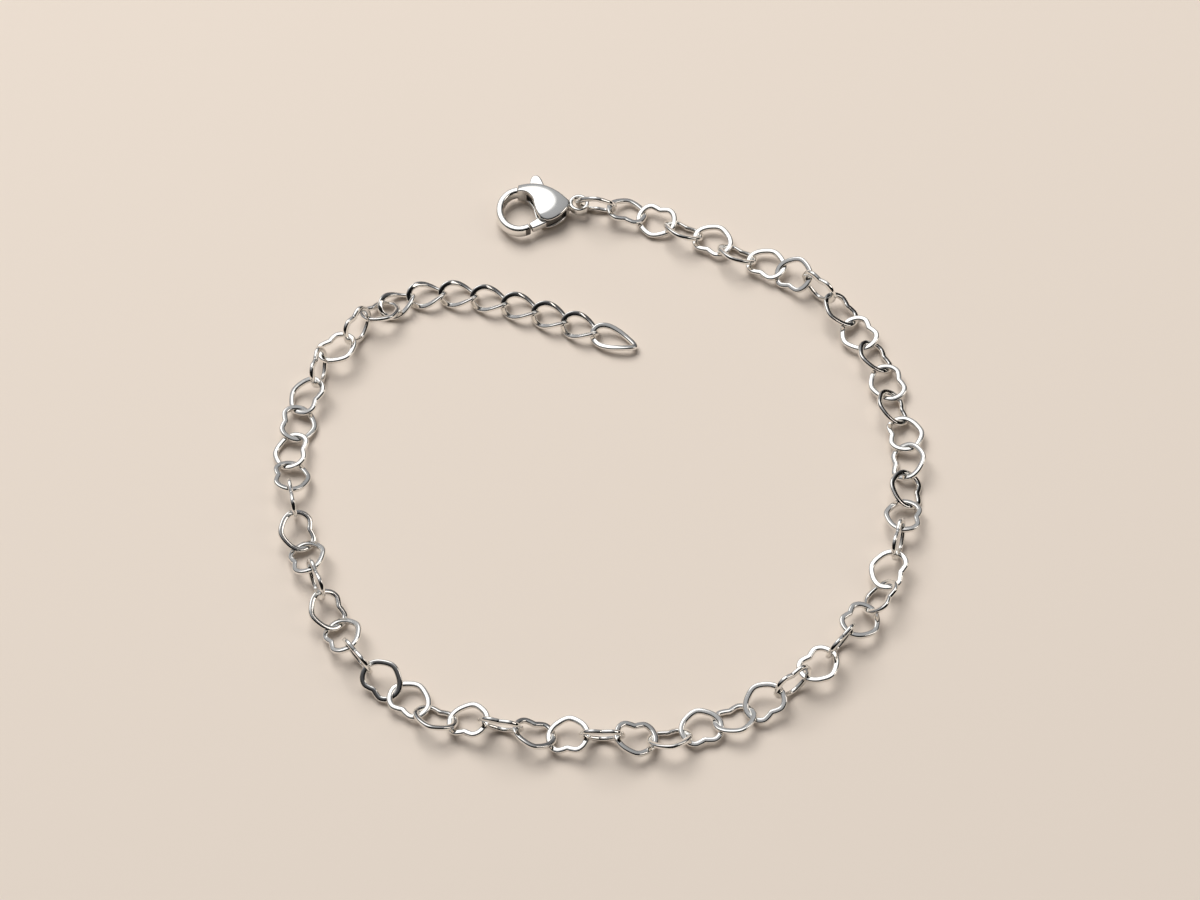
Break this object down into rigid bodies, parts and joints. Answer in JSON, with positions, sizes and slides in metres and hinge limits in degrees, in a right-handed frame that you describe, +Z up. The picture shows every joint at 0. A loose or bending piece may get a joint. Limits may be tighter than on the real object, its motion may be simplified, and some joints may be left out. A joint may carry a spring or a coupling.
{
  "type": "heart link bracelet",
  "caption": "Silver chain bracelet of interlocked heart links laid open, with a spring lobster clasp at one end and a curb chain extender at the other.",
  "frame": {"origin": "middle of the underside of the laid bracelet's box, on the table that it lies on", "axes": "+Z up from the table, +Y from the bottom of the loop to the clasp, +X across the loop"},
  "size_m": [0.063, 0.066, 0.0036],
  "materials": {
    "silver": "polished sterling silver"
  },
  "bodies": {
    "bracelet": {"heart_chain": "silver", "extender_chain": "silver", "clasp_body": "silver", "clasp_pin": "silver"},
    "lever": {"clasp_lever": "silver"}
  },
  "joints": [
    {"name": "lever_turn", "type": "hinge", "parent": "bracelet", "child": "lever", "pos_m": [-0.00421, 0.02862, 0.0012], "axis": [0, 0, -1], "range_deg": [0, 24], "stiffness_Nm_per_rad": 0.012, "springref_deg": -8.59}
  ]
}
